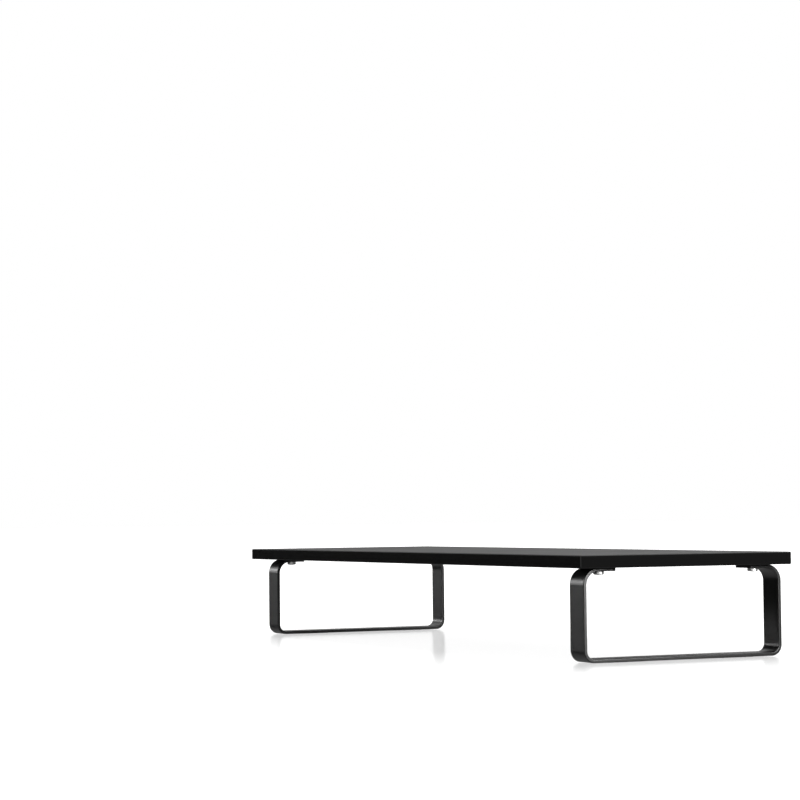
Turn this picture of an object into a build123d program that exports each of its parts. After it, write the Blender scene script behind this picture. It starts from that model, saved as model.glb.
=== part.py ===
"""Monitor riser: a black faced board on two loops of bent flat steel bar. Millimetres, +Z up.

The origin is on the table, under the middle of the board. X runs along the board, and -Y is the front.
"""
import os

from build123d import *

# Whole object
BOARD_LENGTH = 750.0
BOARD_DEPTH = 235.0
BOARD_THICKNESS = 12.0
TOTAL_HEIGHT = 100.0

# Board make-up: a fibreboard core, a laminate on both faces and a plastic band on all four edges
LAMINATE_THICKNESS = 0.8
BAND_THICKNESS = 2.0
BAND_ARRIS_RADIUS = 1.2
CORNER_RADIUS = 1.8

# Legs: 1 x 1/8 inch flat bar, coating included, bent into a loop that is open at the top between two
# flanges. The bends are tighter at the foot. The legs stand back from the board's front edge, and flush
# with its back edge.
BAR_WIDTH = 25.4
BAR_THICKNESS = 3.4
BAR_ARRIS_RADIUS = 0.8
TOP_BEND_RADIUS = 16.0
FOOT_BEND_RADIUS = 11.2
FLANGE_REACH = 35.0
LEG_END_INSET = 18.0
LEG_FRONT_INSET = 14.0

# Thin clear pads under the legs
PAD_LENGTH = 40.0
PAD_WIDTH = 16.0
PAD_THICKNESS = 0.5
PAD_CORNER_RADIUS = 4.0
PAD_GAP_TO_BEND = 16.8

# M5 x 12 pan-head screws with a cross recess, and the inserts that take them
SCREW_DIAMETER = 4.9
SCREW_LENGTH = 12.0
SCREW_POINT_CHAMFER = 0.6
SCREW_INSET = 24.0
CLEARANCE_HOLE_DIAMETER = 5.5
HEAD_DIAMETER = 10.0
HEAD_HEIGHT = 3.7
HEAD_RIM_HEIGHT = 2.6
RECESS_LENGTH = 5.2
RECESS_WIDTH = 1.1
RECESS_DEPTH = 1.9
INSERT_DIAMETER = 8.0
INSERT_BORE_DIAMETER = 5.0
INSERT_LENGTH = 9.0
INSERT_GROOVE_WIDTH = 0.9
INSERT_GROOVE_DEPTH = 0.5
INSERT_GROOVES = 3

# Places worked out from the sizes above
BOARD_UNDERSIDE = TOTAL_HEIGHT - BOARD_THICKNESS
CORE_LENGTH = BOARD_LENGTH - 2 * BAND_THICKNESS
CORE_DEPTH = BOARD_DEPTH - 2 * BAND_THICKNESS
CORE_THICKNESS = BOARD_THICKNESS - 2 * LAMINATE_THICKNESS
LEG_DEPTH = BOARD_DEPTH - LEG_FRONT_INSET
LEG_Y = LEG_FRONT_INSET / 2
LEG_HEIGHT = BOARD_UNDERSIDE - PAD_THICKNESS
LEG_X = BOARD_LENGTH / 2 - LEG_END_INSET - BAR_WIDTH / 2
SCREW_SPACING = LEG_DEPTH - 2 * SCREW_INSET
PAD_SPACING = LEG_DEPTH - 2 * (FOOT_BEND_RADIUS + PAD_GAP_TO_BEND) - PAD_LENGTH
FLANGE_UNDERSIDE = BOARD_UNDERSIDE - BAR_THICKNESS

SIDES = {"left": -LEG_X, "right": LEG_X}
ENDS = {"front": -1, "back": 1}

os.makedirs("parts", exist_ok=True)


def save(part, label):
    """Label a finished piece and write it as its own STEP file."""
    part.label = label
    export_step(part, f"parts/{label}.step")


# Board core, with blind holes for the inserts

with BuildPart() as core:
    with BuildSketch(Plane.XY.offset(BOARD_UNDERSIDE + LAMINATE_THICKNESS)):
        Rectangle(CORE_LENGTH, CORE_DEPTH)
    extrude(amount=CORE_THICKNESS)
    with BuildSketch(Plane.XY.offset(BOARD_UNDERSIDE + LAMINATE_THICKNESS)):
        with Locations((0, LEG_Y)):
            with GridLocations(2 * LEG_X, SCREW_SPACING, 2, 2):
                Circle(INSERT_DIAMETER / 2)
    extrude(amount=INSERT_LENGTH - LAMINATE_THICKNESS, mode=Mode.SUBTRACT)
save(core.part, "board_core")

# Faces

with BuildPart() as top_laminate:
    with BuildSketch(Plane.XY.offset(TOTAL_HEIGHT - LAMINATE_THICKNESS)):
        Rectangle(CORE_LENGTH, CORE_DEPTH)
    extrude(amount=LAMINATE_THICKNESS)
save(top_laminate.part, "top_laminate")

with BuildPart() as bottom_laminate:
    with BuildSketch(Plane.XY.offset(BOARD_UNDERSIDE)):
        Rectangle(CORE_LENGTH, CORE_DEPTH)
        with Locations((0, LEG_Y)):
            with GridLocations(2 * LEG_X, SCREW_SPACING, 2, 2):
                Circle(INSERT_DIAMETER / 2, mode=Mode.SUBTRACT)
    extrude(amount=LAMINATE_THICKNESS)
save(bottom_laminate.part, "bottom_laminate")

# Long edge bands: their ends butt against the side bands, and only the outer arrises are rounded

for end, sign in ENDS.items():
    band_y = sign * (BOARD_DEPTH - BAND_THICKNESS) / 2
    with BuildPart() as long_band:
        with BuildSketch(Plane.XY.offset(BOARD_UNDERSIDE)):
            with Locations((0, band_y)):
                Rectangle(CORE_LENGTH, BAND_THICKNESS)
        extrude(amount=BOARD_THICKNESS)
        outer_face = long_band.faces().sort_by(Axis.Y)[-1 if sign > 0 else 0]
        fillet(outer_face.edges().filter_by(Axis.X), BAND_ARRIS_RADIUS)
    save(long_band.part, f"edge_band_{end}")

# Side edge bands: they run the full depth. The board's upright corners are rounded first, then every
# other edge except those against the core.

for side, leg_x in SIDES.items():
    sign = 1 if leg_x > 0 else -1
    band_x = sign * (BOARD_LENGTH - BAND_THICKNESS) / 2
    with BuildPart() as side_band:
        with BuildSketch(Plane.XY.offset(BOARD_UNDERSIDE)):
            with Locations((band_x, 0)):
                Rectangle(BAND_THICKNESS, BOARD_DEPTH)
        extrude(amount=BOARD_THICKNESS)
        corners = side_band.edges().filter_by(Axis.Z).group_by(Axis.X)[-1 if sign > 0 else 0]
        fillet(corners, CORNER_RADIUS)
        for rim in (side_band.faces().sort_by(Axis.Z)[0], side_band.faces().sort_by(Axis.Z)[-1]):
            inner_edge = rim.edges().sort_by(Axis.X)[0 if sign > 0 else -1]
            outer_edges = [edge for edge in rim.edges() if edge != inner_edge]
            fillet(outer_edges, BAND_ARRIS_RADIUS)
    save(side_band.part, f"edge_band_{side}")

# Legs: a rounded loop of flat bar, cut away at the top to leave two flanges against the board

for side, leg_x in SIDES.items():
    with BuildPart() as leg:
        with BuildSketch(Plane.YZ.offset(leg_x)):
            with Locations((LEG_Y, PAD_THICKNESS + LEG_HEIGHT / 2)):
                Rectangle(LEG_DEPTH, LEG_HEIGHT)
            fillet(vertices().group_by(Axis.Y)[0], FOOT_BEND_RADIUS)
            fillet(vertices().group_by(Axis.Y)[-1], TOP_BEND_RADIUS)
            offset(amount=-BAR_THICKNESS, mode=Mode.SUBTRACT)
            with Locations((LEG_Y, BOARD_UNDERSIDE - BAR_THICKNESS / 2)):
                Rectangle(LEG_DEPTH - 2 * FLANGE_REACH, BAR_THICKNESS, mode=Mode.SUBTRACT)
        extrude(amount=BAR_WIDTH / 2, both=True)
        flanks = leg.faces().filter_by(Plane.YZ)
        fillet(flanks.edges(), BAR_ARRIS_RADIUS)
        with BuildSketch(Plane.XY.offset(BOARD_UNDERSIDE)):
            with Locations((leg_x, LEG_Y)):
                with GridLocations(0, SCREW_SPACING, 1, 2):
                    Circle(CLEARANCE_HOLE_DIAMETER / 2)
        extrude(amount=-BAR_THICKNESS, mode=Mode.SUBTRACT)
    save(leg.part, f"{side}_leg")

# Fasteners and pads, one set at each end of each leg

for side, leg_x in SIDES.items():
    for end, sign in ENDS.items():
        screw_y = LEG_Y + sign * SCREW_SPACING / 2

        # Insert: a tube with grooves around it that grip the core
        with BuildPart() as insert:
            with BuildSketch(Plane.XY.offset(BOARD_UNDERSIDE)):
                with Locations((leg_x, screw_y)):
                    Circle(INSERT_DIAMETER / 2)
                    Circle(INSERT_BORE_DIAMETER / 2, mode=Mode.SUBTRACT)
            extrude(amount=INSERT_LENGTH)
            groove_pitch = INSERT_LENGTH / (INSERT_GROOVES + 1)
            for groove in range(INSERT_GROOVES):
                groove_middle = BOARD_UNDERSIDE + (groove + 1) * groove_pitch
                with BuildSketch(Plane.XY.offset(groove_middle - INSERT_GROOVE_WIDTH / 2)):
                    with Locations((leg_x, screw_y)):
                        Circle(INSERT_DIAMETER / 2)
                        Circle(INSERT_DIAMETER / 2 - INSERT_GROOVE_DEPTH, mode=Mode.SUBTRACT)
                extrude(amount=INSERT_GROOVE_WIDTH, mode=Mode.SUBTRACT)
        save(insert.part, f"{side}_{end}_insert")

        # Screw: pan head hanging under the flange, with a cross recess, and a shank up into the insert
        with BuildPart() as screw:
            with BuildSketch(Plane((leg_x, screw_y, FLANGE_UNDERSIDE), x_dir=(1, 0, 0), z_dir=(0, -1, 0))):
                with BuildLine():
                    Polyline(
                        (0, -HEAD_HEIGHT),
                        (0, SCREW_LENGTH),
                        (SCREW_DIAMETER / 2 - SCREW_POINT_CHAMFER, SCREW_LENGTH),
                        (SCREW_DIAMETER / 2, SCREW_LENGTH - SCREW_POINT_CHAMFER),
                        (SCREW_DIAMETER / 2, 0),
                        (HEAD_DIAMETER / 2, 0),
                        (HEAD_DIAMETER / 2, -HEAD_RIM_HEIGHT),
                    )
                    EllipticalCenterArc(
                        (0, -HEAD_RIM_HEIGHT),
                        HEAD_DIAMETER / 2,
                        HEAD_HEIGHT - HEAD_RIM_HEIGHT,
                        start_angle=270,
                        arc_size=90,
                    )
                make_face()
            revolve(axis=Axis((leg_x, screw_y, 0), (0, 0, 1)))
            with BuildSketch(Plane.XY.offset(FLANGE_UNDERSIDE - HEAD_HEIGHT)):
                with Locations((leg_x, screw_y)):
                    Rectangle(RECESS_LENGTH, RECESS_WIDTH)
                    Rectangle(RECESS_WIDTH, RECESS_LENGTH)
            extrude(amount=RECESS_DEPTH, mode=Mode.SUBTRACT)
        save(screw.part, f"{side}_{end}_screw")

        # Pad stuck under the bottom bar
        with BuildPart() as pad:
            with BuildSketch():
                with Locations((leg_x, LEG_Y + sign * PAD_SPACING / 2)):
                    RectangleRounded(PAD_WIDTH, PAD_LENGTH, PAD_CORNER_RADIUS)
            extrude(amount=PAD_THICKNESS)
        save(pad.part, f"{side}_{end}_pad")
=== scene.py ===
"""Looks for the monitor riser: materials, studio light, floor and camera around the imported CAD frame."""
import math

import bpy
from mathutils import Matrix, Vector


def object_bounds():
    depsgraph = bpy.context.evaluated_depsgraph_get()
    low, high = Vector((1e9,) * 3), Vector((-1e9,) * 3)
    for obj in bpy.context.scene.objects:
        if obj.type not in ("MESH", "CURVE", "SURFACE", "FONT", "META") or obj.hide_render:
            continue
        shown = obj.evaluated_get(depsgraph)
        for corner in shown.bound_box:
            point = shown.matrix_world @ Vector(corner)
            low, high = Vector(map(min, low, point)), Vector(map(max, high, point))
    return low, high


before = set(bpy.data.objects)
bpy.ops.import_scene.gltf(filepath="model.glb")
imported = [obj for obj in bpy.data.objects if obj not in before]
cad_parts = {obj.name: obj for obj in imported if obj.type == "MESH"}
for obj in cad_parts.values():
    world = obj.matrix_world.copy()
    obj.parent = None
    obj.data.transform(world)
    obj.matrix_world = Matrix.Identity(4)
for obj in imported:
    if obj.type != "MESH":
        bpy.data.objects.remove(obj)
CAD_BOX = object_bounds()

# Camera: where it stands from the board's front right top corner and how far it sees, in metres, how it is
# turned, in degrees, and its lens and sensor, in millimetres
CAMERA_OFFSET = Vector((1.9031, -1.1509, 0.0378))
CAMERA_RANGE = 100
CAMERA_AZIMUTH = 63.03
CAMERA_PITCH = 2.72
CAMERA_ROLL = -0.556
LENS = 109.5
SENSOR = 36.0

# Table: half its side in metres, its own glow near the object, dimmed there as a painted shadow, and far from
# it, and how far the painted shadow takes to fade into the far glow
TABLE_REACH = 30.0
TABLE_GLOW_IN_PAINTED_SHADOW = 0.56
TABLE_GLOW_FAR = 1.0
PAINTED_SHADOW_SPREAD = 0.16

# Room, with a light of 1 for white. In gloss only, it is dark between the table's sheen and the upper walls,
# apart from three strips of light. Each edge is a pair: where the light starts, and where it is full. An edge
# is a height, which is the upward part of a direction of length 1. The edge around a strip's side is the
# cosine of the angle from that side.
ROOM_LIGHT = 1.0
UPPER_WALLS_EDGE = (0.26, 0.42)
TABLE_SHEEN_EDGE = (-0.20, -0.35)
TABLE_SHEEN = 0.3
BACKDROP = {
    "side": (-0.891, 0.454, 0.0),
    "around": (0.80, 0.92),
    "lower_edge": (-0.03, -0.01),
    "upper_edge": (0.13, 0.08),
    "light": 1.35,
}
WINDOW = {
    "side": (-0.855, -0.517, 0.0),
    "around": (0.90, 0.96),
    "lower_edge": (0.09, 0.13),
    "upper_edge": (0.26, 0.15),
    "light": 10.0,
}
FRONT_WALL = {
    "side": (0.80, -0.60, 0.0),
    "around": (0.86, 0.95),
    "lower_edge": (-0.10, -0.05),
    "upper_edge": (0.30, 0.20),
    "light": 1.8,
}

# Soft boxes, in metres and watts
RIGHT_BOX = {"place": (1.2, 0.25, 0.3), "aim": (0.36, -0.05, 0.05), "width": 0.3, "height": 0.3, "watts": 16}
TOP_BOX = {"place": (0, 0.7, 1.6), "aim": (0, 0, 0.1), "width": 1.6, "height": 0.8, "watts": 12}

# Where noise values mostly lie, and how squarely a flat face and a rounded edge look along their main axis
NOISE_LOW = 0.3
NOISE_HIGH = 0.7
FLAT_FACING = 0.97
ARRIS_FACING = 0.80

LONG_BANDS = ("edge_band_front", "edge_band_back")
SIDE_BANDS = ("edge_band_left", "edge_band_right")
LEGS = ("left_leg", "right_leg")
CORNERS = [f"{side}_{end}" for side in ("left", "right") for end in ("front", "back")]


def principled(material):
    """The material's principled shader."""
    return material.node_tree.nodes["Principled BSDF"]


def new_material(name, color, roughness=0.5, metallic=0.0, specular=0.5):
    """A material whose principled shader has these plain values."""
    material = bpy.data.materials.new(name)
    material.use_nodes = True
    shader = principled(material)
    shader.inputs["Base Color"].default_value = (*color, 1.0)
    shader.inputs["Roughness"].default_value = roughness
    shader.inputs["Metallic"].default_value = metallic
    shader.inputs["Specular IOR Level"].default_value = specular
    return material


def add_node(material, kind, **settings):
    """A new node in the material, with these settings."""
    node = material.node_tree.nodes.new(kind)
    for key, value in settings.items():
        setattr(node, key, value)
    return node


def noise(material, scale, detail=2.0):
    """Noise over the object's own coordinates; scale is in features per metre."""
    links = material.node_tree.links
    place = add_node(material, "ShaderNodeTexCoord")
    texture = add_node(material, "ShaderNodeTexNoise")
    texture.inputs["Scale"].default_value = scale
    texture.inputs["Detail"].default_value = detail
    links.new(place.outputs["Object"], texture.inputs["Vector"])
    return texture.outputs["Fac"]


def spread(material, source, low, high):
    """Map noise onto low to high."""
    node = add_node(material, "ShaderNodeMapRange")
    node.inputs["From Min"].default_value = NOISE_LOW
    node.inputs["From Max"].default_value = NOISE_HIGH
    node.inputs["To Min"].default_value = low
    node.inputs["To Max"].default_value = high
    material.node_tree.links.new(source, node.inputs["Value"])
    return node.outputs["Result"]


def bump(material, source, strength, distance, below=None):
    """A bump from source, up to distance metres high, on top of the bump below."""
    node = add_node(material, "ShaderNodeBump")
    node.inputs["Strength"].default_value = strength
    node.inputs["Distance"].default_value = distance
    material.node_tree.links.new(source, node.inputs["Height"])
    if below is not None:
        material.node_tree.links.new(below, node.inputs["Normal"])
    return node.outputs["Normal"]


def connect(material, source, socket):
    """Link source to this socket of the material's principled shader."""
    material.node_tree.links.new(source, principled(material).inputs[socket])


def arris(material, strength):
    """This strength on rounded edges, which face between two of the axes, and 0 on flat faces."""
    links = material.node_tree.links
    geometry = add_node(material, "ShaderNodeNewGeometry")
    size = add_node(material, "ShaderNodeVectorMath", operation="ABSOLUTE")
    split = add_node(material, "ShaderNodeSeparateXYZ")
    wider = add_node(material, "ShaderNodeMath", operation="MAXIMUM")
    widest = add_node(material, "ShaderNodeMath", operation="MAXIMUM")
    mask = add_node(material, "ShaderNodeMapRange")
    mask.inputs["From Min"].default_value = FLAT_FACING
    mask.inputs["From Max"].default_value = ARRIS_FACING
    mask.inputs["To Max"].default_value = strength
    links.new(geometry.outputs["True Normal"], size.inputs[0])
    links.new(size.outputs["Vector"], split.inputs["Vector"])
    links.new(split.outputs["X"], wider.inputs[0])
    links.new(split.outputs["Y"], wider.inputs[1])
    links.new(wider.outputs["Value"], widest.inputs[0])
    links.new(split.outputs["Z"], widest.inputs[1])
    links.new(widest.outputs["Value"], mask.inputs["Value"])
    return mask.outputs["Result"]


def laminate():
    """Satin black laminate with a fine pebbled press texture."""
    material = new_material("black_laminate", color=(0.006, 0.006, 0.006), specular=0.42)
    pebble = noise(material, scale=2600.0, detail=3.0)
    cloud = noise(material, scale=9.0, detail=4.0)
    connect(material, spread(material, cloud, low=0.46, high=0.54), "Roughness")
    connect(material, bump(material, pebble, strength=0.25, distance=0.0001), "Normal")
    return material


def edge_band():
    """Matt black plastic edging, buffed glossy along its rounded edges."""
    material = new_material("edge_band", color=(0.0025, 0.0025, 0.0025), specular=0.01)
    principled(material).inputs["Coat Roughness"].default_value = 0.4
    connect(material, arris(material, strength=0.7), "Coat Weight")
    grain = noise(material, scale=1800.0)
    connect(material, spread(material, grain, low=0.55, high=0.65), "Roughness")
    connect(material, bump(material, grain, strength=0.15, distance=0.0001), "Normal")
    return material


def powder_coat():
    """Satin black powder coat: tiny orange-peel bumps."""
    material = new_material("powder_coat", color=(0.004, 0.004, 0.004))
    peel = noise(material, scale=1400.0, detail=3.0)
    speck = noise(material, scale=4200.0, detail=1.0)
    connect(material, spread(material, peel, low=0.30, high=0.38), "Roughness")
    fine = bump(material, speck, strength=0.12, distance=0.0001)
    connect(material, bump(material, peel, strength=0.25, distance=0.0002, below=fine), "Normal")
    return material


def plated_steel():
    """Bright nickel plate, slightly uneven."""
    material = new_material("nickel_plate", color=(0.85, 0.85, 0.84), metallic=1.0)
    mottle = noise(material, scale=3000.0)
    connect(material, spread(material, mottle, low=0.40, high=0.50), "Roughness")
    return material


def brass():
    """Plain turned brass."""
    material = new_material("brass", color=(0.72, 0.52, 0.24), metallic=1.0)
    mottle = noise(material, scale=2500.0)
    connect(material, spread(material, mottle, low=0.25, high=0.36), "Roughness")
    return material


def fibreboard():
    """Raw fibreboard with a fine fibrous surface."""
    material = new_material("fibreboard", color=(0.36, 0.25, 0.15), roughness=0.85, specular=0.2)
    fibres = noise(material, scale=900.0, detail=6.0)
    connect(material, bump(material, fibres, strength=0.5, distance=0.0004), "Normal")
    return material


def clear_pad():
    """Soft clear polyurethane, slightly frosted."""
    material = new_material("clear_pad", color=(0.9, 0.9, 0.9))
    principled(material).inputs["Transmission Weight"].default_value = 0.9
    frost = noise(material, scale=1500.0)
    connect(material, spread(material, frost, low=0.25, high=0.4), "Roughness")
    return material


def paint(nodes, material):
    """Give these CAD nodes this material."""
    for name in nodes:
        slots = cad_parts[name].data.materials
        slots.clear()
        slots.append(material)


def area_light(name, place, aim, width, height, watts):
    """A soft box of this size, in metres, at place and turned to aim."""
    light = bpy.data.lights.new(name, "AREA")
    light.shape = "RECTANGLE"
    light.size = width
    light.size_y = height
    light.energy = watts
    lamp = bpy.data.objects.new(name, light)
    lamp.location = place
    lamp.rotation_euler = (Vector(aim) - Vector(place)).to_track_quat("-Z", "Y").to_euler()
    bpy.context.scene.collection.objects.link(lamp)


def table():
    """A lit white acrylic table top, which mirrors faintly what stands on it. Its glow is dimmed under and
    near the object as a painted shadow, and it is full further away.
    """
    mesh = bpy.data.meshes.new("table")
    corners = [(x * TABLE_REACH, y * TABLE_REACH, 0) for x, y in ((-1, -1), (1, -1), (1, 1), (-1, 1))]
    mesh.from_pydata(corners, [], [(0, 1, 2, 3)])
    acrylic = new_material("opal_acrylic", color=(0.12, 0.12, 0.12), roughness=0.2)
    shader = principled(acrylic)
    shader.inputs["Emission Color"].default_value = (1, 1, 1, 1)
    links = acrylic.node_tree.links
    place = add_node(acrylic, "ShaderNodeTexCoord")
    reach = add_node(acrylic, "ShaderNodeVectorMath", operation="ABSOLUTE")
    outside = add_node(acrylic, "ShaderNodeVectorMath", operation="SUBTRACT")
    outside.inputs[1].default_value = (CAD_BOX[1][0], CAD_BOX[1][1], 0)
    beyond = add_node(acrylic, "ShaderNodeVectorMath", operation="MAXIMUM")
    beyond.inputs[1].default_value = (0, 0, 0)
    distance = add_node(acrylic, "ShaderNodeVectorMath", operation="LENGTH")
    # Painted shadow: the table's glow is dimmer under the object and near it, and fades up to full further
    # out.
    glow_and_painted_shadow = add_node(acrylic, "ShaderNodeMapRange")
    glow_and_painted_shadow.inputs["From Max"].default_value = PAINTED_SHADOW_SPREAD
    glow_and_painted_shadow.inputs["To Min"].default_value = TABLE_GLOW_IN_PAINTED_SHADOW
    glow_and_painted_shadow.inputs["To Max"].default_value = TABLE_GLOW_FAR
    links.new(place.outputs["Object"], reach.inputs[0])
    links.new(reach.outputs["Vector"], outside.inputs[0])
    links.new(outside.outputs["Vector"], beyond.inputs[0])
    links.new(beyond.outputs["Vector"], distance.inputs[0])
    links.new(distance.outputs["Value"], glow_and_painted_shadow.inputs["Value"])
    links.new(glow_and_painted_shadow.outputs["Result"], shader.inputs["Emission Strength"])
    mesh.materials.append(acrylic)
    top = bpy.data.objects.new("table", mesh)
    top.visible_glossy = False
    bpy.context.scene.collection.objects.link(top)


def surroundings():
    """A white room. In gloss its lower half stands for the table, and its low walls are dark apart from the
    strips of light."""
    world = bpy.data.worlds.new("studio")
    world.use_nodes = True
    world.cycles.sampling_method = "NONE"
    nodes, links = world.node_tree.nodes, world.node_tree.links
    direction = nodes.new("ShaderNodeTexCoord")
    split = nodes.new("ShaderNodeSeparateXYZ")
    links.new(direction.outputs["Generated"], split.inputs["Vector"])
    height = split.outputs["Z"]

    def ramp(source, start, end, top=1.0):
        node = nodes.new("ShaderNodeMapRange")
        node.inputs["From Min"].default_value = start
        node.inputs["From Max"].default_value = end
        node.inputs["To Max"].default_value = top
        links.new(source, node.inputs["Value"])
        return node.outputs["Result"]

    def combine(operation, first, second):
        node = nodes.new("ShaderNodeMath")
        node.operation = operation
        links.new(first, node.inputs[0])
        links.new(second, node.inputs[1])
        return node.outputs["Value"]

    def strip(side, around, lower_edge, upper_edge, light):
        """A strip of light on the wall at this side, with soft edges."""
        facing = nodes.new("ShaderNodeVectorMath")
        facing.operation = "DOT_PRODUCT"
        facing.inputs[1].default_value = side
        links.new(direction.outputs["Generated"], facing.inputs[0])
        tall = combine("MULTIPLY", ramp(height, *lower_edge), ramp(height, *upper_edge))
        return combine("MULTIPLY", ramp(facing.outputs["Value"], *around, light), tall)

    walls = combine("MAXIMUM", ramp(height, *UPPER_WALLS_EDGE), ramp(height, *TABLE_SHEEN_EDGE, TABLE_SHEEN))
    in_gloss = combine("MAXIMUM", walls, strip(**FRONT_WALL))
    in_gloss = combine("MAXIMUM", in_gloss, combine("MAXIMUM", strip(**BACKDROP), strip(**WINDOW)))
    rays = nodes.new("ShaderNodeLightPath")
    choice = nodes.new("ShaderNodeMix")
    choice.inputs["A"].default_value = ROOM_LIGHT
    links.new(rays.outputs["Is Glossy Ray"], choice.inputs["Factor"])
    links.new(in_gloss, choice.inputs["B"])
    links.new(choice.outputs["Result"], nodes["Background"].inputs["Strength"])
    nodes["Background"].inputs["Color"].default_value = (1, 1, 1, 1)
    bpy.context.scene.world = world


def studio():
    """The table, the room and two soft boxes, shown in plain sRGB."""
    table()
    surroundings()
    area_light("right_box", **RIGHT_BOX)
    area_light("top_box", **TOP_BOX)
    bpy.context.scene.view_settings.view_transform = "Standard"


def camera():
    """A long lens, low down, at the front right."""
    azimuth, pitch, roll = (math.radians(v) for v in (CAMERA_AZIMUTH, CAMERA_PITCH, CAMERA_ROLL))
    level_right = Vector((math.cos(azimuth), math.sin(azimuth), 0))
    level_ahead = Vector((-math.sin(azimuth), math.cos(azimuth), 0))
    ahead = math.cos(pitch) * level_ahead + math.sin(pitch) * Vector((0, 0, 1))
    level_up = level_right.cross(ahead)
    right = math.cos(roll) * level_right + math.sin(roll) * level_up
    up = math.cos(roll) * level_up - math.sin(roll) * level_right
    data = bpy.data.cameras.new("camera")
    data.lens = LENS
    data.sensor_width = SENSOR
    data.clip_end = CAMERA_RANGE
    eye = bpy.data.objects.new("camera", data)
    low, high = CAD_BOX
    corner = Vector((high[0], low[1], high[2]))
    place = Matrix((right, up, -ahead)).transposed().to_4x4()
    place.translation = corner + CAMERA_OFFSET
    eye.matrix_world = place
    bpy.context.scene.collection.objects.link(eye)
    bpy.context.scene.camera = eye


paint(("top_laminate", "bottom_laminate"), laminate())
paint(LONG_BANDS + SIDE_BANDS, edge_band())
paint(("board_core",), fibreboard())
paint(LEGS, powder_coat())
paint([f"{corner}_screw" for corner in CORNERS], plated_steel())
paint([f"{corner}_insert" for corner in CORNERS], brass())
paint([f"{corner}_pad" for corner in CORNERS], clear_pad())
studio()
camera()
